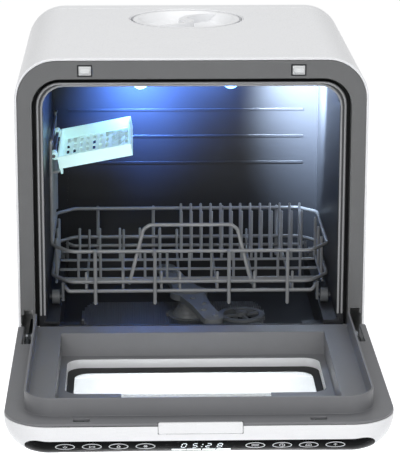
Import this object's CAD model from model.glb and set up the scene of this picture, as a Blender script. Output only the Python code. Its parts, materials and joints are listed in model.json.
"""Countertop dishwasher: its finishes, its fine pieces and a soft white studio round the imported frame."""

import json
import logging
import math
from dataclasses import dataclass, field
from enum import Enum
from typing import Any, Callable, Iterable, Sequence

import bmesh
import bpy
from bpy.types import Material, Mesh, Node, NodeTree, Object
from mathutils import Matrix, Vector

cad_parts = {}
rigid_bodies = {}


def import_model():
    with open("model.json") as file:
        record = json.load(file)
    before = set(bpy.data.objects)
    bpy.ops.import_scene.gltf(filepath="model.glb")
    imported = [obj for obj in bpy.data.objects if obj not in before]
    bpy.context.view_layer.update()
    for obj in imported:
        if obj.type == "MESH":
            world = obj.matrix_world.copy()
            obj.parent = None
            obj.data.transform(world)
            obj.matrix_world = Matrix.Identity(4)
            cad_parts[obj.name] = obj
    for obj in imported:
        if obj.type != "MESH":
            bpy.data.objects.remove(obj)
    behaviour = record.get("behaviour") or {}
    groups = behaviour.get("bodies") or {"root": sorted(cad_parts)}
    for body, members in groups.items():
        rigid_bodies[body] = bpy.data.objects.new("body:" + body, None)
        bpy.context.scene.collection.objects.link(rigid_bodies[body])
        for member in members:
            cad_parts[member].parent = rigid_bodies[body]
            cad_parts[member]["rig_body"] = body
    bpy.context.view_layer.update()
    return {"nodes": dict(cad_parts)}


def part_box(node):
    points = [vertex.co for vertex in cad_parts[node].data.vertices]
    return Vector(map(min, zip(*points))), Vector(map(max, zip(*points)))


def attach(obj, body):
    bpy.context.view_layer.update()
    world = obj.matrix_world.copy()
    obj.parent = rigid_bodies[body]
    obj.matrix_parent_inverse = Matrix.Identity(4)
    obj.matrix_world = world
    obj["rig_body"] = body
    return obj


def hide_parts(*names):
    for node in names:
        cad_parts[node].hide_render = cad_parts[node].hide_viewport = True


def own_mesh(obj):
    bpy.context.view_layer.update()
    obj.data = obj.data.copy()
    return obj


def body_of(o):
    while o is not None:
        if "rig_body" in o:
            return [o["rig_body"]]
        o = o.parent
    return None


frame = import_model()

logging.basicConfig(level=logging.INFO, format="%(name)s: %(message)s")
log = logging.getLogger("dishwasher")

MM = 0.001
Spot = tuple[float, float]
Place = tuple[float, float, float]
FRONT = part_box("outer_shell")[0][1]  # y of the front frame's plane

BRUSH_STRETCH = (0.04, 1.0, 1.0)  # brushing leaves fine lines along X
DRIFT_GRAINS = 40  # how many grains wide the slow drift of a surface's colour is
SMOOTHER, ROUGHER = 0.04, 0.05  # how far the roughness strays from its middle
SKIN_ROUGHNESS = 0.04  # roughness of a clear coat
SEAM = 2e-6  # corners closer than this, in metres, are one corner
FLAT_TURN = math.radians(0.6)  # facets that turn by less than this are one face


def linear(code: str) -> tuple[float, float, float, float]:
    """Turn an sRGB hex colour into linear RGBA.

    Args:
        code: colour such as "#f2f2f3".

    Returns:
        Linear red, green, blue and an alpha of 1.
    """
    parts = [int(code[i:i + 2], 16) / 255 for i in (1, 3, 5)]
    r, g, b = (c / 12.92 if c <= 0.04045 else ((c + 0.055) / 1.055) ** 2.4 for c in parts)
    return r, g, b, 1.0


def at(x: float, y: float, z: float) -> Vector:
    """Turn a place in millimetres, measured from the front frame's plane, into the scene's metres.

    Args:
        x: across, from the middle.
        y: back from the front frame.
        z: up from the surface it stands on.

    Returns:
        The place in the scene.
    """
    return Vector((x * MM, y * MM + FRONT, z * MM))


def add(tree: NodeTree, kind: str, settings: dict[str, Any] | None = None,
        links: dict[str | int, Any] | None = None) -> Node:
    """Add a node with its settings, its values and its links.

    Args:
        tree: the tree it goes into.
        kind: the node's type name.
        settings: attributes of the node.
        links: input name or index to a value or to another node's output.

    Returns:
        The new node.
    """
    node = tree.nodes.new(kind)
    for key, value in (settings or {}).items():
        setattr(node, key, value)
    for key, value in (links or {}).items():
        if isinstance(value, bpy.types.NodeSocket):
            tree.links.new(value, node.inputs[key])
        else:
            node.inputs[key].default_value = value
    return node


class Grain(Enum):
    """How a surface was worked, which sets the shape of its fine grain; a polished one has none."""

    MOULDED = "moulded"
    BRUSHED = "brushed"
    POLISHED = "polished"


@dataclass(frozen=True)
class Finish:
    """A real material with the way its surface was made.

    Attributes:
        name: the material's common name and process.
        colour: its sRGB colour.
        roughness: typical roughness of that surface.
        metallic: 1 for bare metal.
        ior: index of refraction, which metals leave at the default.
        grain: how the surface was worked.
        grain_mm: real size of the grain.
        depth: height of the grain's bump, 0 to 1.
        tint: how far the colour drifts over the surface.
        coat: weight of a clear or glossy skin.
        clear: how much light passes through.
        glow: strength of its own light.
        glow_colour: sRGB colour of that light.
        gloss: strength of the plain reflection, less under an anti-glare film.
    """

    name: str
    colour: str
    roughness: float = 0.4
    metallic: float = 0.0
    ior: float = 1.5
    grain: Grain = Grain.MOULDED
    grain_mm: float = 0.6
    depth: float = 0.08
    tint: float = 0.02
    coat: float = 0.0
    clear: float = 0.0
    glow: float = 0.0
    glow_colour: str = "#ffffff"
    gloss: float = 0.5

    def material(self) -> Material:
        """Build the material once and hand back the same one after that.

        Returns:
            The Blender material.
        """
        found = bpy.data.materials.get(self.name)
        if found:
            return found
        mat = bpy.data.materials.new(self.name)
        mat.use_nodes = True
        tree = mat.node_tree
        tree.nodes.clear()
        spots = add(tree, "ShaderNodeTexCoord").outputs["Object"]
        if self.grain is Grain.BRUSHED:
            lines = {"Vector": spots, "Scale": BRUSH_STRETCH}
            spots = add(tree, "ShaderNodeMapping", links=lines).outputs[0]
        per_metre = 1.0 / (self.grain_mm * MM)
        fine = add(tree, "ShaderNodeTexNoise", links={"Vector": spots, "Scale": per_metre, "Detail": 3.0})
        broad = add(tree, "ShaderNodeTexNoise", links={
            "Vector": spots, "Scale": per_metre / DRIFT_GRAINS, "Detail": 2.0})
        depth, tint = (0.0, 0.0) if self.grain is Grain.POLISHED else (self.depth, self.tint)
        base = linear(self.colour)
        darker = tuple(c * (1 - tint * 2) for c in base[:3]) + (1.0,)
        lighter = tuple(min(1.0, c * (1 + tint)) for c in base[:3]) + (1.0,)
        colour = add(tree, "ShaderNodeMix", {"data_type": "RGBA"},
                     {0: broad.outputs["Fac"], 6: darker, 7: lighter})
        rough = add(tree, "ShaderNodeMapRange", links={
            "Value": fine.outputs["Fac"], "To Min": max(0.0, self.roughness - SMOOTHER),
            "To Max": min(1.0, self.roughness + ROUGHER)})
        bump = add(tree, "ShaderNodeBump", links={
            "Strength": depth, "Distance": self.grain_mm * MM, "Height": fine.outputs["Fac"]})
        skin = add(tree, "ShaderNodeBsdfPrincipled", links={
            "Base Color": colour.outputs[2], "Roughness": rough.outputs[0], "Metallic": self.metallic,
            "Normal": bump.outputs[0], "Coat Weight": self.coat, "Coat Roughness": SKIN_ROUGHNESS,
            "Transmission Weight": self.clear})
        if not self.metallic:
            skin.inputs["IOR"].default_value = self.ior
            skin.inputs["Specular IOR Level"].default_value = self.gloss
        if self.glow:
            skin.inputs["Emission Color"].default_value = linear(self.glow_colour)
            skin.inputs["Emission Strength"].default_value = self.glow
        add(tree, "ShaderNodeOutputMaterial", links={"Surface": skin.outputs[0]})
        return mat


# ABS, moulded in a polished tool: an even white with a soft sheen
WHITE_ABS = Finish("gloss_white_moulded_abs", "#e8e9eb", roughness=0.28, ior=1.54,
                   grain_mm=0.9, depth=0.03, tint=0.01)
# ABS from a finely etched tool: a flat mid grey that scatters the light
GREY_ABS = Finish("satin_grey_moulded_abs", "#606162", roughness=0.48, ior=1.54,
                  grain_mm=0.5, depth=0.12, tint=0.03)
# The same on the door's liner, a shade lighter and smoother
LINER_ABS = Finish("pale_grey_textured_abs_of_the_liner", "#6c6d70", roughness=0.42, ior=1.54,
                   grain_mm=0.5, depth=0.1, tint=0.03)
# The tub's lip, whose two ridges catch the light
LIP_ABS = Finish("light_grey_moulded_lip_of_the_tub", "#98999b", roughness=0.38, ior=1.54,
                 grain_mm=0.6, depth=0.06, tint=0.02)
# Polypropylene, duller and greasier to the eye than ABS
DARK_PP = Finish("dark_moulded_polypropylene", "#232528", roughness=0.5, ior=1.49,
                 grain_mm=0.7, depth=0.1, tint=0.04)
PALE_PP = Finish("natural_moulded_polypropylene", "#c9cbc7", roughness=0.45, ior=1.49,
                 grain_mm=0.7, depth=0.1)
MID_PP = Finish("grey_moulded_polypropylene", "#6e7174", roughness=0.42, ior=1.49,
                grain_mm=0.6, depth=0.08, tint=0.03)
# Inner tub, moulded smooth and dark grey, so that only what the lamps reach is bright
TUB_PP = Finish("grey_moulded_tub_polypropylene", "#27282b", roughness=0.34, ior=1.49,
                grain_mm=1.2, depth=0.04)
# Tray, moulded thin and frosted, so that it holds the lamps' light
FROSTED_PS = Finish("frosted_moulded_polystyrene", "#d9f2f0", roughness=0.3, ior=1.59, clear=0.15,
                    depth=0.03, glow=0.35, glow_colour="#c8eef2")
# Catch noses, moulded in pale acetal: dense, waxy and nearly white
ACETAL = Finish("pale_moulded_acetal", "#d4d6d7", roughness=0.35, ior=1.48, grain_mm=0.5, depth=0.05)
# EPDM rubber, extruded: nearly black and dull
RUBBER = Finish("extruded_epdm_rubber", "#141516", roughness=0.72, ior=1.52,
                grain_mm=0.4, depth=0.2, tint=0.05)
# Stainless steel sheet, brushed: grey with short lines of light
STEEL = Finish("brushed_stainless_steel", "#b4b7bb", roughness=0.32, metallic=1.0, grain=Grain.BRUSHED,
               grain_mm=0.25, depth=0.05)
# Spring and hinge steel under black and grey zinc coats
BLACK_ZINC = Finish("black_zinc_plated_steel", "#35383b", roughness=0.42, metallic=0.8,
                    grain_mm=0.4, depth=0.08)
HINGE_ZINC = Finish("grey_zinc_plated_steel", "#8e9296", roughness=0.4, metallic=0.9,
                    grain_mm=0.4, depth=0.08)
# Wire dipped in nylon powder: thick, soft-edged grey coat
NYLON_WIRE = Finish("grey_nylon_dipped_wire", "#8c8e90", roughness=0.38, ior=1.53,
                    grain_mm=0.8, depth=0.1, coat=0.15)
# Toughened float glass: flat, hard and almost without colour
GLASS = Finish("toughened_float_glass", "#f4f9fa", roughness=0.02, ior=1.52, grain=Grain.POLISHED,
               clear=1.0)
# Acrylic over black print, under an anti-glare film that mirrors the table only faintly
BLACK_ACRYLIC = Finish("back_printed_black_acrylic", "#0c0d0e", roughness=0.22, ior=1.49,
                       grain=Grain.POLISHED, gloss=0.02)
# The tank, blown in clear polystyrene with a bluish cast
CLEAR_PS = Finish("clear_moulded_polystyrene", "#d8eef2", roughness=0.12, ior=1.59, clear=0.55, depth=0.02)
# Printed boards: green resist over woven glass fibre
BOARD = Finish("solder_resist_on_glass_fibre", "#2f6b45", roughness=0.4, grain_mm=0.8)
# Ink screen-printed on the panel's face
WHITE_PRINT = Finish("white_screen_print", "#c9cbce", roughness=0.45, grain=Grain.POLISHED)
# Display segments, lit from behind
LIT_FIGURES = Finish("lit_white_display", "#dfe6ea", roughness=0.3, grain=Grain.POLISHED, glow=0.4,
                     glow_colour="#eaf4ff")
# Lenses over the tub's blue lamps
LAMP = Finish("lit_blue_lamp_lens", "#bcd8ff", roughness=0.2, glow=6.0, glow_colour="#4f8cff")


def dress(finish: Finish, *nodes: str) -> None:
    """Give frame nodes a finish.

    Args:
        finish: what they are made of.
        nodes: names of the frame's nodes.
    """
    for name in nodes:
        mesh = frame["nodes"][name].data
        mesh.materials.clear()
        mesh.materials.append(finish.material())
    log.info("%s: %s", finish.name, ", ".join(nodes))


def show(thing: Object) -> None:
    """Put an object in the scene.

    Args:
        thing: the object.
    """
    bpy.context.scene.collection.objects.link(thing)


def place(name: str, mesh: Mesh, finish: Finish, body: str) -> Object:
    """Put a finished mesh in the scene and let it ride on a body.

    Args:
        name: name of the piece.
        mesh: its mesh, with its place in it.
        finish: what it is made of; a mesh that has a finish already keeps it.
        body: the body it moves with.

    Returns:
        The new piece.
    """
    if not mesh.materials:
        mesh.materials.append(finish.material())
    mesh.name = name
    piece = bpy.data.objects.new(name, mesh)
    show(piece)
    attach(piece, body)
    log.info("%s in %s on %s", name, finish.name, body)
    return piece


def settle(piece: Object) -> Mesh:
    """Turn an object with its modifiers into a plain mesh and take the object away.

    Args:
        piece: the object with live modifiers.

    Returns:
        The mesh it came to.
    """
    graph = bpy.context.evaluated_depsgraph_get()
    ready = piece.evaluated_get(graph)
    mesh = bpy.data.meshes.new_from_object(ready, preserve_all_data_layers=True, depsgraph=graph)
    bpy.data.objects.remove(piece)
    return mesh


def soften(finish: Finish, edge: float, *nodes: str, segments: int = 3, sharpest: float = 32.0) -> None:
    """Stand a copy with moulded edges in for each of some nodes.

    Args:
        finish: what the nodes are made of.
        edge: radius of the moulded edge in millimetres.
        nodes: names of the frame's nodes.
        segments: steps round an edge.
        sharpest: edges that turn by more degrees than this are rounded.
    """
    for name in nodes:
        source = frame["nodes"][name]
        shape = bmesh.new()
        shape.from_mesh(source.data)
        bmesh.ops.remove_doubles(shape, verts=shape.verts, dist=SEAM)
        bmesh.ops.dissolve_limit(shape, angle_limit=FLAT_TURN, verts=shape.verts, edges=shape.edges)
        mesh = bpy.data.meshes.new(name)
        shape.to_mesh(mesh)
        shape.free()
        mesh.materials.clear()
        mesh.materials.append(finish.material())
        mesh.shade_smooth()
        copy = bpy.data.objects.new(name + "_copy", mesh)
        show(copy)
        bevel = copy.modifiers.new("edge", "BEVEL")
        bevel.width, bevel.segments, bevel.limit_method = edge * MM, segments, "ANGLE"
        bevel.angle_limit = math.radians(sharpest)
        bevel.miter_outer = "MITER_ARC"
        flat = copy.modifiers.new("flat", "WEIGHTED_NORMAL")
        flat.keep_sharp, flat.weight = True, 80
        piece = place(name + "_moulded", settle(copy), finish, body_of(source)[0])
        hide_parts(name)


def built(fill: Callable[[NodeTree, Any], Node], **inlets: str) -> NodeTree:
    """Build a node tree, or find it again: what it makes is made real, coated and led out.

    Args:
        fill: adds the nodes between the tree's inputs and its last geometry; the tree has its name.
        inlets: socket type of each input.

    Returns:
        The tree.
    """
    found = bpy.data.node_groups.get(fill.__name__)
    if found:
        return found
    tree = bpy.data.node_groups.new(fill.__name__, "GeometryNodeTree")
    for name, kind in {"start": "Geometry", **inlets, "coat": "Material"}.items():
        tree.interface.new_socket(name, in_out="INPUT", socket_type="NodeSocket" + kind)
    tree.interface.new_socket("made", in_out="OUTPUT", socket_type="NodeSocketGeometry")
    come, go = add(tree, "NodeGroupInput"), add(tree, "NodeGroupOutput")
    last = fill(tree, come.outputs)
    real = add(tree, "GeometryNodeRealizeInstances", links={0: last.outputs[0]})
    coat = add(tree, "GeometryNodeSetMaterial", links={
        "Geometry": real.outputs[0], "Material": come.outputs["coat"]})
    tree.links.new(coat.outputs[0], go.inputs[0])
    return tree


def run(tree: NodeTree, mesh: Mesh, **values: Any) -> Mesh:
    """Run a node tree over a mesh and keep what it makes.

    Args:
        tree: the tree to run.
        mesh: what goes into it.
        values: the tree's inputs by name.

    Returns:
        The plain mesh that came out.
    """
    holder = bpy.data.objects.new("holder", mesh)
    show(holder)
    nodes = holder.modifiers.new("nodes", "NODES")
    nodes.node_group = tree
    for item in tree.interface.items_tree:
        if item.in_out == "INPUT" and item.name in values:
            nodes[item.identifier] = values[item.name]
    holder.update_tag()
    return settle(holder)


def bent_wire(tree: NodeTree, given: Any, bend_steps: int = 6) -> Node:
    """Turn bare edges into round wire with smooth bends and domed ends.

    Args:
        tree: the tree to fill.
        given: its inputs.
        bend_steps: points round a bend.

    Returns:
        The last node.
    """
    path = add(tree, "GeometryNodeMeshToCurve", links={"Mesh": given["start"]})
    bend = add(tree, "GeometryNodeFilletCurve", {"mode": "POLY"}, {
        "Curve": path.outputs[0], "Radius": given["bend_radius"], "Count": bend_steps,
        "Limit Radius": True})
    section = add(tree, "GeometryNodeCurvePrimitiveCircle", {"mode": "RADIUS"}, {
        "Resolution": given["sides"], "Radius": given["wire_radius"]})
    thick = add(tree, "GeometryNodeInputNamedAttribute", {"data_type": "FLOAT"}, {"Name": "thick"})
    tube = add(tree, "GeometryNodeCurveToMesh", links={
        "Curve": bend.outputs[0], "Profile Curve": section.outputs[0], "Scale": thick.outputs[0],
        "Fill Caps": True})
    return add(tree, "GeometryNodeSetShadeSmooth", links={"Geometry": tube.outputs[0]})


@dataclass(frozen=True)
class Wire:
    """One bent wire with domed ends, in millimetres.

    Attributes:
        points: where it runs and bends.
        ring: True if its ends meet.
    """

    points: tuple[Place, ...]
    ring: bool = False


# How far along a domed end each step lies, and how wide it is, both as shares of the wire's radius
DOME = ((0.0, 0.12), (0.12, 0.5), (0.4, 0.84), (1.0, 1.0))


def bend_wires(wires: Iterable[Wire], thick: float, bend: float, finish: Finish, sides: int = 14) -> Mesh:
    """Make wires of one thickness.

    Args:
        wires: the wires.
        thick: their diameter in millimetres.
        bend: radius of their bends in millimetres.
        finish: what they are made of.
        sides: flats round a wire.

    Returns:
        One mesh with all of them.
    """
    places: list[Vector] = []
    edges: list[tuple[int, int]] = []
    widths: list[float] = []
    for wire in wires:
        spots = [at(*point) for point in wire.points]
        scale = [1.0] * len(spots)
        if not wire.ring:
            for end, inner in ((0, spots[1]), (-1, spots[-2])):
                tip = spots[end]
                step = (inner - tip).normalized() * thick / 2 * MM
                more = [tip + step * along for along, _ in DOME]
                less = [width for _, width in DOME]
                if end == 0:
                    spots[:1], scale[:1] = more, less
                else:
                    spots[-1:], scale[-1:] = more[::-1], less[::-1]
        first = len(places)
        places += spots
        widths += scale
        edges += [(first + i, first + i + 1) for i in range(len(spots) - 1)]
        if wire.ring:
            edges.append((first + len(spots) - 1, first))
    mesh = bpy.data.meshes.new("edges")
    mesh.from_pydata(places, edges, [])
    mesh.attributes.new("thick", "FLOAT", "POINT").data.foreach_set("value", widths)
    tree = built(bent_wire, wire_radius="Float", bend_radius="Float", sides="Int")
    return run(tree, mesh, wire_radius=thick / 2 * MM, bend_radius=bend * MM, sides=sides,
               coat=finish.material())


def join(*meshes: Mesh) -> Mesh:
    """Join meshes of one finish into one.

    Args:
        meshes: the meshes; they are taken away.

    Returns:
        The joined mesh.
    """
    whole = bmesh.new()
    for mesh in meshes:
        whole.from_mesh(mesh)
    made = bpy.data.meshes.new("joined")
    whole.to_mesh(made)
    whole.free()
    for material in meshes[0].materials:
        made.materials.append(material)
    for mesh in meshes:
        bpy.data.meshes.remove(mesh)
    return made


def stand_in(node: str, mesh: Mesh, finish: Finish) -> Object:
    """Let a finely made mesh stand for one of the frame's nodes.

    Args:
        node: the node it stands for.
        mesh: the mesh.
        finish: what it is made of.

    Returns:
        The new piece.
    """
    piece = place(node + "_fine", mesh, finish, body_of(frame["nodes"][node])[0])
    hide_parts(node)
    return piece


def wound_coil(tree: NodeTree, given: Any, points: int = 18, flats: int = 8) -> Node:
    """Wind a round wire into a coil along Y.

    Args:
        tree: the tree to fill.
        given: its inputs.
        points: points in a turn.
        flats: flats round the wire.

    Returns:
        The last node.
    """
    turns = add(tree, "GeometryNodeCurveSpiral", links={
        "Resolution": points, "Rotations": given["turns"], "Start Radius": given["mean_radius"],
        "End Radius": given["mean_radius"], "Height": given["length"]})
    section = add(tree, "GeometryNodeCurvePrimitiveCircle", {"mode": "RADIUS"}, {
        "Resolution": flats, "Radius": given["wire_radius"]})
    tube = add(tree, "GeometryNodeCurveToMesh", links={
        "Curve": turns.outputs[0], "Profile Curve": section.outputs[0], "Fill Caps": True})
    laid = add(tree, "GeometryNodeTransform", links={
        "Geometry": tube.outputs[0], "Rotation": (-math.pi / 2, 0, 0), "Translation": given["foot"]})
    return add(tree, "GeometryNodeSetShadeSmooth", links={"Geometry": laid.outputs[0]})


@dataclass(frozen=True)
class Coil:
    """A close coil spring along Y; sizes in millimetres.

    Attributes:
        y: where it starts.
        z: its height.
        mean: radius to the middle of the wire.
        wire: diameter of the wire.
        length: length over all.
        pitch: distance between turns, as a multiple of the wire's diameter.
    """

    y: float
    z: float
    mean: float
    wire: float
    length: float
    pitch: float = 1.12

    def wind(self, x: float, finish: Finish) -> Mesh:
        """Wind the spring.

        Args:
            x: its place across.
            finish: what it is made of.

        Returns:
            Its mesh.
        """
        wire, run_length = self.wire, self.length - self.wire
        tree = built(wound_coil, turns="Float", mean_radius="Float", length="Float", wire_radius="Float",
                     foot="Vector")
        return run(tree, bpy.data.meshes.new("start"), turns=run_length / (wire * self.pitch),
                   mean_radius=self.mean * MM, length=run_length * MM, wire_radius=wire / 2 * MM,
                   foot=at(x, self.y, self.z) + Vector((0, wire / 2 * MM, 0)), coat=finish.material())


def perforated_sheet(tree: NodeTree, given: Any) -> Node:
    """Turn a flat grid of faces into a sheet with one hole in each face.

    Args:
        tree: the tree to fill.
        given: its inputs.

    Returns:
        The last node.
    """
    ring = add(tree, "GeometryNodeExtrudeMesh", {"mode": "FACES"}, {
        "Mesh": given["start"], "Offset Scale": 0.0, "Individual": True})
    shrink = add(tree, "GeometryNodeScaleElements", {"domain": "FACE"}, {
        "Geometry": ring.outputs[0], "Selection": ring.outputs["Top"], "Scale": given["open_share"]})
    holed = add(tree, "GeometryNodeDeleteGeometry", {"domain": "FACE"}, {
        "Geometry": shrink.outputs[0], "Selection": ring.outputs["Top"]})
    raised = add(tree, "GeometryNodeExtrudeMesh", {"mode": "FACES"}, {
        "Mesh": holed.outputs[0], "Offset Scale": given["thickness"], "Individual": False})
    under = add(tree, "GeometryNodeFlipFaces", links={"Mesh": holed.outputs[0]})
    both = add(tree, "GeometryNodeJoinGeometry")
    tree.links.new(raised.outputs[0], both.inputs[0])
    tree.links.new(under.outputs[0], both.inputs[0])
    return add(tree, "GeometryNodeMergeByDistance", links={"Geometry": both.outputs[0], "Distance": 1e-6})


@dataclass
class Cabinet:
    """Shell, rear cover, base and front frame, with what is hidden behind the tub.

    Attributes:
        edge: radius of the moulded edges in millimetres.
        catch_x: distance of a catch from the middle.
        catch_press: how far a catch goes in.
        coil: the spring behind a catch.
    """

    edge: float = 0.9
    catch_x: float = 126.0
    catch_press: float = 4.0
    coil: Coil = Coil(y=13.3, z=420.0, mean=3.4, wire=1.0, length=10.4)

    def springs(self) -> None:
        """Catch springs, which shorten as the catches are pressed."""
        for name, side, joint in (("catch_spring_left", -1, "catch_l_press"),
                                  ("catch_spring_right", 1, "catch_r_press")):
            x = side * self.catch_x
            spring = stand_in(name, self.coil.wind(x, STEEL), STEEL)
            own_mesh(spring)

    def build(self) -> None:
        """Round the moulded edges, wind the catch springs and dress the rest."""
        soften(WHITE_ABS, self.edge, "outer_shell", "rear_cover", "plinth_panel")
        soften(GREY_ABS, self.edge, "front_frame")
        soften(DARK_PP, 0.4, "catch_housings")
        soften(ACETAL, 0.8, "catch_left", "catch_right")
        soften(RUBBER, 0.8, "rubber_feet")
        self.springs()
        dress(WHITE_ABS, "inlet_valve")
        dress(DARK_PP, "base_pan", "wash_pump", "drain_outlet", "cord_inlet", "sump")
        dress(RUBBER, "water_hoses")
        dress(PALE_PP, "drain_pump")
        dress(CLEAR_PS, "water_tank")
        dress(STEEL, "heater", "cabinet_screws")
        dress(BOARD, "power_board")
        dress(BLACK_ZINC, "hinge_bracket_left", "hinge_bracket_right")


@dataclass
class Tub:
    """Tub, gasket, lamps, filter and spray arm; sizes in millimetres.

    Attributes:
        hub_y: distance of the hub from the front frame.
        plate_z: height of the filter plate's underside.
        plate_t: its thickness.
        pitch: distance between its holes, drawn coarser than the real 1.5 so that they show.
        open_share: how much of that distance a hole takes up.
        rim: plain rim of the plate, as a share of that distance.
        plate_x: middle of the round plate.
        plate_r: its radius.
        strip: how far it reaches before and behind the hub.
        hub_r: radius of the hole round the hub.
        cup: middle of the filter cup.
        cup_r: radius of the hole round the cup.
        lip_y: how far the ridges of the lip lie behind the front frame's plane.
        lip_foot: height at which they start.
        lip_wide: how wide they are.
        lip_bend: radius of their corners.
        ridges: half width and top of each ridge.
    """

    hub_y: float = 150.0
    plate_z: float = 70.3
    plate_t: float = 2.4
    pitch: float = 3.0
    open_share: float = 0.58
    rim: float = 0.7
    plate_x: float = -20.0
    plate_r: float = 119.0
    strip: Spot = (-46.0, 54.0)
    hub_r: float = 26.5
    cup: Spot = (67.0, 140.0)
    cup_r: float = 26.5
    lip_y: float = 10.2
    lip_foot: float = 116.0
    lip_wide: float = 2.6
    lip_bend: float = 27.0
    ridges: tuple[Spot, ...] = ((183.0, 402.9), (178.4, 400.4))

    def filter_sheet(self) -> None:
        """Perforated sheet round the hub and the filter cup."""
        places: list[Vector] = []
        faces: list[tuple[int, int, int, int]] = []
        index: dict[tuple[int, int], int] = {}

        def corner(i: int, j: int) -> int:
            """Number of a grid corner, made when first asked for."""
            if (i, j) not in index:
                index[i, j] = len(places)
                places.append(at(self.plate_x + i * self.pitch, self.hub_y + j * self.pitch, self.plate_z))
            return index[i, j]

        rim = self.pitch * self.rim
        reach = int(self.plate_r / self.pitch)
        rows = range(int(self.strip[0] / self.pitch), int(self.strip[1] / self.pitch))
        for i in range(-reach, reach):
            for j in rows:
                x, y = self.plate_x + (i + 0.5) * self.pitch, (j + 0.5) * self.pitch
                outside = math.hypot(x - self.plate_x, y) > self.plate_r - rim
                in_hub = math.hypot(x, y) < self.hub_r + rim
                in_cup = math.hypot(x - self.cup[0], y - (self.cup[1] - self.hub_y)) < self.cup_r + rim
                if not (outside or in_hub or in_cup):
                    faces.append((corner(i, j), corner(i + 1, j), corner(i + 1, j + 1), corner(i, j + 1)))
        mesh = bpy.data.meshes.new("grid")
        mesh.from_pydata(places, [], faces)
        tree = built(perforated_sheet, open_share="Float", thickness="Float")
        sheet = run(tree, mesh, open_share=self.open_share, thickness=self.plate_t * MM,
                    coat=STEEL.material())
        stand_in("filter_plate", sheet, STEEL)

    def lip(self) -> None:
        """Two rounded ridges that run up, over and down the lip of the mouth."""
        y, foot = self.lip_y, self.lip_foot
        ridges = [Wire(((-x, y, foot), (-x, y, top), (x, y, top), (x, y, foot))) for x, top in self.ridges]
        place("lip_ridges", bend_wires(ridges, self.lip_wide, self.lip_bend, LIP_ABS), LIP_ABS, "cabinet")

    def build(self) -> None:
        """Round the moulded edges, punch the filter, run the ridges round the mouth and dress the rest."""
        soften(TUB_PP, 1.6, "tub")
        soften(RUBBER, 0.7, "tub_gasket")
        soften(LAMP, 0.6, "lamp_lenses")
        soften(MID_PP, 0.8, "spray_hub", "spray_arm", "filter_cup")
        self.filter_sheet()
        self.lip()


@dataclass
class FillingCap:
    """Well, seal and cap in the top."""

    def build(self) -> None:
        """Round the edges of the filling opening."""
        soften(WHITE_ABS, 0.8, "filling_well", "filling_cap")
        soften(RUBBER, 0.5, "cap_seal")


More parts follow.
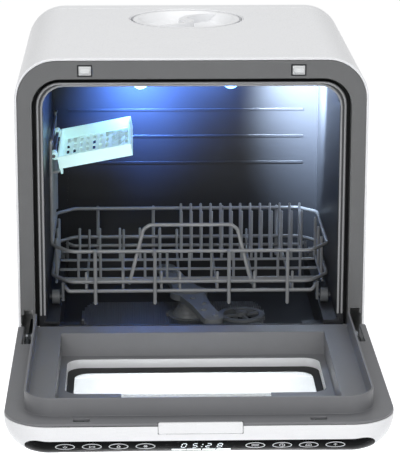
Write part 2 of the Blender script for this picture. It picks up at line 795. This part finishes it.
@dataclass
class PanelMarks:
    """Key rings, signs and display printed and lit on the curved control panel; sizes in millimetres.

    Attributes:
        radius: radius of the panel's face.
        centre: y and z of the middle of its curve.
        line: angle below level at which the row of keys lies, in degrees.
        key_x: distances of the keys from the middle.
        key: width and height of a key ring.
        ring_line: width of a key ring's line.
        sign_line: width of a sign's line.
        knob: width and line of the round sign in the second key on the right.
        film: height of the print's foot and of its top above the face.
    """

    radius: float = 38.3
    centre: Spot = (-317.2, 105.7)
    line: float = 36.3
    key_x: tuple[float, ...] = (58.3, 86.9, 115.2, 143.6)
    key: Spot = (20.0, 9.4)
    ring_line: float = 0.95
    sign_line: float = 0.75
    knob: Spot = (5.4, 0.7)
    film: Spot = (0.02, 0.12)
    _places: list[Vector] = field(default_factory=list)
    _faces: list[tuple[int, ...]] = field(default_factory=list)

    def spot(self, x: float, up: float, lift: float) -> Vector:
        """A place on the panel.

        Args:
            x: across from the middle.
            up: along the curve from the row of keys.
            lift: above the face.

        Returns:
            The place in metres.
        """
        turn = math.radians(self.line) - up / self.radius
        reach = self.radius + lift
        return at(x, self.centre[0] - reach * math.cos(turn), self.centre[1] - reach * math.sin(turn))

    def stroke(self, points: Sequence[Spot], width: float, ring: bool = False) -> None:
        """Lay a line of print along points.

        Args:
            points: where it runs.
            width: how wide it is.
            ring: True if it closes on itself.
        """
        count = len(points)
        first = len(self._places)
        low, top = self.film
        for i, (x, up) in enumerate(points):
            before = points[i - 1] if ring or i else points[i]
            after = points[(i + 1) % count] if ring or i < count - 1 else points[i]
            across = Vector((before[1] - after[1], after[0] - before[0])).normalized() * width / 2
            for side, lift in ((1, low), (1, top), (-1, top), (-1, low)):
                self._places.append(self.spot(x + side * across.x, up + side * across.y, lift))
        for i in range(count if ring else count - 1):
            a, b = first + 4 * i, first + 4 * ((i + 1) % count)
            self._faces += [(a + k, b + k, b + (k + 1) % 4, a + (k + 1) % 4) for k in range(4)]
        if not ring:
            last = first + 4 * (count - 1)
            self._faces += [(first, first + 1, first + 2, first + 3),
                            (last + 3, last + 2, last + 1, last)]

    def oval(self, x: float, up: float, wide: float, high: float, width: float, steps: int = 40) -> None:
        """Lay an oval ring.

        Args:
            x: its middle, across.
            up: its middle, along the curve.
            wide: its width.
            high: its height.
            width: how wide the line is.
            steps: points round it.
        """
        turns = [2 * math.pi * i / steps for i in range(steps)]
        self.stroke([(x + wide / 2 * math.cos(t), up + high / 2 * math.sin(t)) for t in turns], width, True)

    def take(self, name: str, finish: Finish) -> None:
        """Turn what has been laid so far into one piece.

        Args:
            name: name of the piece.
            finish: what it is made of.
        """
        mesh = bpy.data.meshes.new(name)
        mesh.from_pydata(self._places, [], self._faces)
        shape = bmesh.new()
        shape.from_mesh(mesh)
        bmesh.ops.recalc_face_normals(shape, faces=shape.faces)
        shape.to_mesh(mesh)
        shape.free()
        self._places, self._faces = [], []
        place(name, mesh, finish, "door")

    def keys(self) -> None:
        """Eight key rings, each with a plain sign of straight lines."""
        signs: list[list[tuple[Spot, ...]]] = [
            [((-1.9, 0.6), (-1.5, -1.4), (0, -2.2), (1.5, -1.4), (1.9, 0.6)), ((0, -0.4), (0, 2.2))],
            [((-2.6, -1.7), (-2.6, 1.7), (0.2, 0), (-2.6, -1.7)),
             ((1.4, -1.7), (1.4, 1.7)), ((3, -1.7), (3, 1.7))],
            [((0, 2.3), (-1.7, -0.4), (-1.2, -1.9), (0, -2.3), (1.2, -1.9), (1.7, -0.4), (0, 2.3))],
            [((-2.4, 0), (2.4, 0)), ((-1.2, -2), (1.2, 2)), ((1.2, -2), (-1.2, 2))],
            [((-3.8, 1.2), (-1.9, 1.9), (0, 1.2), (1.9, 1.9), (3.8, 1.2)),
             ((-3.8, -1.2), (-1.9, -0.5), (0, -1.2), (1.9, -0.5), (3.8, -1.2))],
            [((0, 0), (0, 1.7)), ((0, 0), (1.2, -0.6))],
            [((-3.2, -1.8), (-2.2, 1.8), (2.2, 1.8), (3.2, -1.8), (-3.2, -1.8)), ((-1, -0.4), (1, -0.4))],
            [((-1.8, 0.2), (0, 2.1), (1.8, 0.2)), ((0, 2), (0, -2.1))],
        ]
        for i, x in enumerate([-v for v in reversed(self.key_x)] + list(self.key_x)):
            self.oval(x, 0, *self.key, self.ring_line)
            for sign in signs[i]:
                self.stroke([(x + a, b) for a, b in sign], self.sign_line)
        wide, line = self.knob
        self.oval(self.key_x[1], 0, wide, wide, line, 24)
        self.take("key_rings_and_signs", WHITE_PRINT)

    def display(self) -> None:
        """Four slanted seven-bar figures, a colon and four lit bars below."""
        wide, high, lean, line = 6.0, 8.4, 0.24, 0.95
        inset, gap, rise = 0.7, 0.55, 0.6
        figure_x = (-17.5, -5.6, 8.6, 20.6)
        colon_x, colon_up, dot = (1.2, 2.5), (-1.7, 2.5), 1.2
        lit_bars, lit_up, lit_high = ((-30.5, -15.6), (-14.5, 0.3), (2.4, 16.2), (17.3, 32.2)), -8.2, 3.4

        def bar(x: float, a: Spot, b: Spot) -> None:
            """Lay one bar of a figure, slanted."""
            self.stroke([(x + p[0] + lean * p[1], p[1] + rise) for p in (a, b)], line)

        w, h = wide / 2 - inset, high / 2 - inset
        bars = {
            "top": ((-w + gap, h), (w - gap, h)), "mid": ((-w + gap, 0), (w - gap, 0)),
            "low": ((-w + gap, -h), (w - gap, -h)),
            "ul": ((-w, gap), (-w, h - gap)), "ur": ((w, gap), (w, h - gap)),
            "ll": ((-w, -h + gap), (-w, -gap)), "lr": ((w, -h + gap), (w, -gap))}
        figures = {"0": "top low ul ur ll lr", "2": "top mid low ur ll", "5": "top mid low ul lr",
                   "8": "top mid low ul ur ll lr"}
        for x, figure in zip(figure_x, "0528"):
            for name in figures[figure].split():
                bar(x, *bars[name])
        for up in colon_up:
            self.stroke([(x + lean * up, up) for x in colon_x], dot)
        for a, b in lit_bars:
            self.stroke([(a, lit_up), (b, lit_up)], lit_high)
        self.take("display_figures", LIT_FIGURES)


@dataclass
class Door:
    """Skin, liner, window, control panel, grip and hinge arms; sizes in millimetres.

    Attributes:
        hinge_x: distance of a hinge from the middle.
        coil: the spring of a hinge.
        hook_wire: diameter of its hooks.
        hooks: y of each point of a hook and how far it lies below the coil.
    """

    hinge_x: float = 196.25
    coil: Coil = Coil(y=-80.0, z=104.8, mean=3.3, wire=1.4, length=26.0)
    hook_wire: float = 1.6
    hooks: tuple[tuple[Spot, ...], ...] = (((-54.3, 0), (-44, 0), (-27.3, 6.8)),
                                           ((-79.7, 0), (-84, 0), (-84, 4.8)))

    def springs(self) -> None:
        """Hinge springs with their two hooks."""
        for name, side in (("hinge_spring_left", -1), ("hinge_spring_right", 1)):
            x = side * self.hinge_x
            hooks = [Wire(tuple((x, y, self.coil.z - drop) for y, drop in hook)) for hook in self.hooks]
            stand_in(name, join(self.coil.wind(x, BLACK_ZINC),
                                bend_wires(hooks, self.hook_wire, 2, BLACK_ZINC, sides=10)), BLACK_ZINC)

    def build(self) -> None:
        """Round the moulded edges, print the panel, wind the springs and dress the rest."""
        soften(WHITE_ABS, 0.9, "door_skin", "window_surround")
        soften(WHITE_ABS, 2.2, "grip", segments=5)
        soften(LINER_ABS, 0.9, "door_liner")
        soften(RUBBER, 0.3, "window_gasket", segments=2)
        soften(BLACK_ACRYLIC, 0.3, "control_panel", segments=2)
        soften(HINGE_ZINC, 0.35, "hinge_arm_left", "hinge_arm_right", segments=2)
        dress(GLASS, "window_glass")
        dress(BLACK_ACRYLIC, "display_module")
        dress(BOARD, "touch_board")
        dress(STEEL, "latch_keepers")
        self.springs()
        marks = PanelMarks()
        marks.keys()
        marks.display()


@dataclass
class Rack:
    """Dish rack on its rollers, with the cutlery tray; sizes in millimetres, from the front frame's plane.

    Attributes:
        wire: diameter of the rim wires.
        thin: diameter of the thin wires.
        near: y of the front rim wire.
        far: y of the rear rim wire.
        side: x of the side rim wires.
        inner: x at which the near and far rim wires turn the corner.
        side_y: where a side rim wire starts and ends.
        rim_z: height of the top rim.
        mid_z: height of the middle rim.
        low_z: height of the two bottom wires.
        floor_z: height of the floor wires.
        cross_z: height of the wires across the floor.
        post_x: places of the upright posts.
        post_foot: height at which they start.
        up_y: places of the side uprights.
        floor_x: places of the floor wires.
        floor_top: height of their turned-up ends.
        cross_x: how far the cross wires reach to each side.
        cross_y: places of the cross wires.
        bow_half: points of one half of the bow, as x and height.
        leg_y: places of the tray stand's outer legs.
        inner_leg_y: places of its thin inner legs.
        leg_foot: height at which they start.
        bar: x and height of the bar that the tray hangs on.
    """

    wire: float = 4.6
    thin: float = 3.4
    near: float = 64.3
    far: float = 273.7
    side: float = 171.7
    inner: float = 148.5
    side_y: Spot = (97.0, 249.7)
    rim_z: float = 181.2
    mid_z: float = 142.2
    low_z: float = 130.2
    floor_z: float = 126.6
    cross_z: float = 130.02
    post_x: tuple[float, ...] = (-117.6, -44.0, 47.5, 120.0)
    post_foot: float = 113.9
    up_y: tuple[float, ...] = (125.0, 173.0, 221.0)
    floor_x: tuple[float, ...] = (-129.0, -83.6, -36.0, -13.0, 33.5, 79.6, 126.6)
    floor_top: float = 153.9
    cross_x: float = 165.6
    cross_y: tuple[float, ...] = (120.0, 162.0, 205.0, 245.0)
    bow_half: tuple[Spot, ...] = ((50.0, 213.5), (58.0, 208.0), (76.0, 137.2))
    leg_y: Spot = (98.0, 262.0)
    inner_leg_y: Spot = (152.0, 206.0)
    leg_foot: float = 183.6
    bar: Spot = (-168.1, 293.2)

    def ring(self, z: float) -> Wire:
        """One rim wire.

        Args:
            z: its height.

        Returns:
            The closed wire.
        """
        x, inner = self.side, self.inner
        start, end = self.side_y
        return Wire(((-inner, self.near, z), (inner, self.near, z), (x, start, z), (x, end, z),
                     (inner, self.far, z), (-inner, self.far, z), (-x, end, z), (-x, start, z)), ring=True)

    def put(self, node: str, *groups: tuple[Iterable[Wire], float, float], sides: int = 14) -> None:
        """Stand bent wires in for a node.

        Args:
            node: the node.
            groups: wires with their diameter and the radius of their bends.
            sides: flats round a wire.
        """
        meshes = [bend_wires(wires, thick, bend, NYLON_WIRE, sides) for wires, thick, bend in groups]
        stand_in(node, join(*meshes), NYLON_WIRE)

    def frame(self) -> None:
        """Two rims and the posts outside them."""
        rim_bend, post_out, post_over = 16, 4.5, 2.6
        rims = (self.ring(self.rim_z), self.ring(self.mid_z))
        posts = [Wire(((x, y, self.post_foot), (x, y, self.rim_z + post_over))) for x in self.post_x
                 for y in (self.near - post_out, self.far + post_out)]
        self.put("rack_frame", (rims, self.wire, rim_bend), (posts, self.wire - 0.2, 2))

    def base(self) -> None:
        """Bottom wires with their turned-up ends, and the side uprights."""
        z, lift, foot_x, end_x, end_in, rod_in = self.low_z, self.mid_z - self.wire, 151, 159, 13, 40
        low = [Wire(((-end_x, y + s * end_in, lift), (-foot_x, y, z), (foot_x, y, z),
                     (end_x, y + s * end_in, lift))) for y, s in ((self.near, 1), (self.far, -1))]
        x = self.side - self.wire + 0.3
        rods = [Wire(((s * x, self.near + rod_in, z), (s * x, self.far - rod_in, z))) for s in (-1, 1)]
        ups = [Wire(((s * x, y, z), (s * x, y, self.rim_z + 1))) for s in (-1, 1) for y in self.up_y]
        self.put("rack_base", (low, self.wire, 5), (rods, self.thin, 2), (ups, self.wire - 0.6, 2))

    def floor(self) -> None:
        """Wires front to back, turned up at both ends, and the wires across them."""
        inside = self.wire / 2 + self.thin / 2 + 0.1
        near, far, low, top = self.near + inside, self.far - inside, self.floor_z, self.floor_top
        runs = [Wire(((x, near, top), (x, near, low), (x, far, low), (x, far, top))) for x in self.floor_x]
        across = [Wire(((-self.cross_x, y, self.cross_z), (self.cross_x, y, self.cross_z)))
                  for y in self.cross_y]
        self.put("rack_floor", (runs + across, self.thin, 8))

    def bow(self) -> None:
        """Raised bow at the front."""
        y = self.near + self.wire + 0.1
        left = tuple((-x, y, z) for x, z in reversed(self.bow_half))
        right = tuple((x, y, z) for x, z in self.bow_half)
        self.put("rack_arch", ((Wire(left + right),), self.wire, 9))

    def tines(self) -> None:
        """Rows of upright tines on the cross wires: y, first x, distance apart, count and height."""
        foot, over = self.cross_z + 0.6, 2.7
        rows = [(self.cross_y[0], -140, 28, 11, 34), (self.cross_y[2], -8, 13, 13, 62),
                (self.cross_y[3], -8, 13, 13, 62), (self.cross_y[2], -140, 26, 5, 40)]
        tines = [Wire(((x0 + i * step, y, foot), (x0 + i * step, y, foot + tall + over)))
                 for y, x0, step, count, tall in rows for i in range(count)]
        self.put("rack_tines", (tines, self.thin, 1), sides=10)

    def stand(self) -> None:
        """Wire stand of the cutlery tray, its bar and its stop."""
        x, foot, (start, end), (bar_x, bar_z) = -self.side, self.leg_foot, self.leg_y, self.bar
        top, high, low, out = bar_z + 16, bar_z + 19, bar_z - 19, bar_x + 5.6
        legs = [Wire(((x, y, foot), (x, y, high), (x + 2, y, high + 6))) for y in self.leg_y]
        thin = [Wire(((x, y, foot), (x, y, top))) for y in self.inner_leg_y]
        bars = [Wire(((x, start, top), (x, end, top))), Wire(((bar_x, start, bar_z), (bar_x, end, bar_z)))]
        stop = [Wire(((x, start, low), (out, start, low), (out, end, low), (x, end, low)))]
        self.put("tray_stand", (legs, self.wire - 0.4, 4), (thin + stop, self.thin, 3), (bars, 4.4, 2))

    def build(self) -> None:
        """Build the wires and dress the moulded pieces."""
        self.frame()
        self.base()
        self.floor()
        self.bow()
        self.tines()
        self.stand()
        soften(MID_PP, 0.5, "roller_axles", "roller_front_left", "roller_front_right", "roller_rear_left",
               "roller_rear_right")
        soften(FROSTED_PS, 0.5, "cutlery_tray", segments=2)


@dataclass
class Studio:
    """White floor and world, soft lamps, blue light in the tub, and the camera.

    Attributes:
        focal_px: focal length in picture points.
        picture_px: height of the picture in picture points.
        yaw: turn of the camera to the right, in degrees.
        pitch: tilt down, in degrees.
        roll: turn about the line of sight, in degrees.
        eye: place of the camera in millimetres from the front frame's plane.
    """

    focal_px: float = 2152.4
    picture_px: float = 458.0
    yaw: float = 1.742
    pitch: float = 15.231
    roll: float = -0.083
    eye: Place = (-66.0, -2491.4, 905.4)

    def camera(self) -> None:
        """Create the camera that frames the whole machine from the front and above."""
        data = bpy.data.cameras.new("camera")
        data.sensor_width = 36.0
        data.lens = self.focal_px * data.sensor_width / self.picture_px
        data.clip_start, data.clip_end = 0.05, 60.0
        yaw, pitch, roll = (math.radians(v) for v in (self.yaw, self.pitch, self.roll))
        ahead = Vector((math.sin(yaw) * math.cos(pitch), math.cos(yaw) * math.cos(pitch), -math.sin(pitch)))
        right = Vector((math.cos(yaw), -math.sin(yaw), 0.0))
        down = ahead.cross(right)
        right, down = (math.cos(roll) * right + math.sin(roll) * down,
                       math.cos(roll) * down - math.sin(roll) * right)
        cam = bpy.data.objects.new("camera", data)
        turn = Matrix((right, -down, -ahead)).transposed().to_4x4()
        cam.matrix_world = Matrix.Translation(at(*self.eye)) @ turn
        show(cam)
        bpy.context.scene.camera = cam

    def floor(self) -> None:
        """Lay a wide pale floor that stays white to the camera and keeps the shadow."""
        mat = bpy.data.materials.new("matt_white_paper")
        mat.use_nodes = True
        tree = mat.node_tree
        tree.nodes.clear()
        path = add(tree, "ShaderNodeLightPath")
        seen = add(tree, "ShaderNodeMath", {"operation": "MAXIMUM"},
                   {0: path.outputs["Is Camera Ray"], 1: path.outputs["Is Glossy Ray"]})
        seen = add(tree, "ShaderNodeMath", {"operation": "MAXIMUM"},
                   {0: seen.outputs[0], 1: path.outputs["Is Transmission Ray"]})
        paper = add(tree, "ShaderNodeBsdfDiffuse", links={"Color": linear("#e9e9ea")})
        lift = add(tree, "ShaderNodeEmission", links={"Color": (1, 1, 1, 1), "Strength": 0.6})
        both = add(tree, "ShaderNodeAddShader", links={0: paper.outputs[0], 1: lift.outputs[0]})
        mix = add(tree, "ShaderNodeMixShader", links={
            0: seen.outputs[0], 1: paper.outputs[0], 2: both.outputs[0]})
        add(tree, "ShaderNodeOutputMaterial", links={"Surface": mix.outputs[0]})
        half = 14.0
        mesh = bpy.data.meshes.new("floor")
        corners = [(-half, -half, 0), (half, -half, 0), (half, half, 0), (-half, half, 0)]
        mesh.from_pydata(corners, [], [(0, 1, 2, 3)])
        mesh.materials.append(mat)
        plane = bpy.data.objects.new("floor", mesh)
        show(plane)

    def sky(self) -> None:
        """White world, plain to the camera and a soft fill to the object."""
        world = bpy.data.worlds.new("studio")
        world.use_nodes = True
        tree = world.node_tree
        tree.nodes.clear()
        path = add(tree, "ShaderNodeLightPath")
        seen = add(tree, "ShaderNodeMath", {"operation": "MAXIMUM"},
                   {0: path.outputs["Is Camera Ray"], 1: path.outputs["Is Transmission Ray"]})
        fill = add(tree, "ShaderNodeBackground", links={"Color": (1, 1, 1, 1), "Strength": 0.45})
        plain = add(tree, "ShaderNodeBackground", links={"Color": (1, 1, 1, 1), "Strength": 1.0})
        mix = add(tree, "ShaderNodeMixShader", links={
            0: seen.outputs[0], 1: fill.outputs[0], 2: plain.outputs[0]})
        add(tree, "ShaderNodeOutputWorld", links={"Surface": mix.outputs[0]})
        bpy.context.scene.world = world

    def lamp(self, name: str, place: Place, aim: Place,
             size: float, power: float, colour: str = "#ffffff", spread: float = 180.0) -> None:
        """Hang a square soft lamp.

        Args:
            name: name of the lamp.
            place: where it hangs, in millimetres.
            aim: where it points, in millimetres.
            size: side of the lamp in metres.
            power: watts.
            colour: sRGB colour of its light.
            spread: how widely it throws its light, in degrees.
        """
        data = bpy.data.lights.new(name, "AREA")
        data.spread = math.radians(spread)
        data.size, data.energy, data.color = size, power, linear(colour)[:3]
        lamp = bpy.data.objects.new(name, data)
        lamp.location = at(*place)
        lamp.rotation_mode = "QUATERNION"
        lamp.rotation_quaternion = (at(*aim) - at(*place)).to_track_quat("-Z", "Y")
        show(lamp)

    def build(self) -> None:
        """Set up the whole studio."""
        self.camera()
        self.floor()
        self.sky()
        self.lamp("key", (-700, -2200, 1300), (0, 0, 150), 1.5, 21)
        self.lamp("fill", (1100, -2000, 800), (0, 0, 150), 1.5, 11)
        self.lamp("top", (0, 400, 1900), (0, 150, 400), 1.4, 15)
        self.lamp("under_door", (0, -180, 55), (0, -180, 0), 0.22, 1.2)
        self.lamp("tub_right", (112, 190, 388), (176, 272, 340), 0.05, 5.5, "#cfe4ff", 90)
        self.lamp("tub_middle", (30, 215, 388), (10, 316, 355), 0.05, 0.7, "#5f93ff", 84)
        self.lamp("tub_left", (-60, 205, 388), (-66, 316, 332), 0.05, 1.9, "#5d90ff", 70)
        bpy.context.scene.view_settings.view_transform = "Standard"


def main() -> None:
    """Build every part of the scene in order."""
    for part in (Cabinet(), Tub(), FillingCap(), Door(), Rack(), Studio()):
        part.build()
        log.info("built %s", type(part).__name__)


if __name__ == "__main__":
    main()
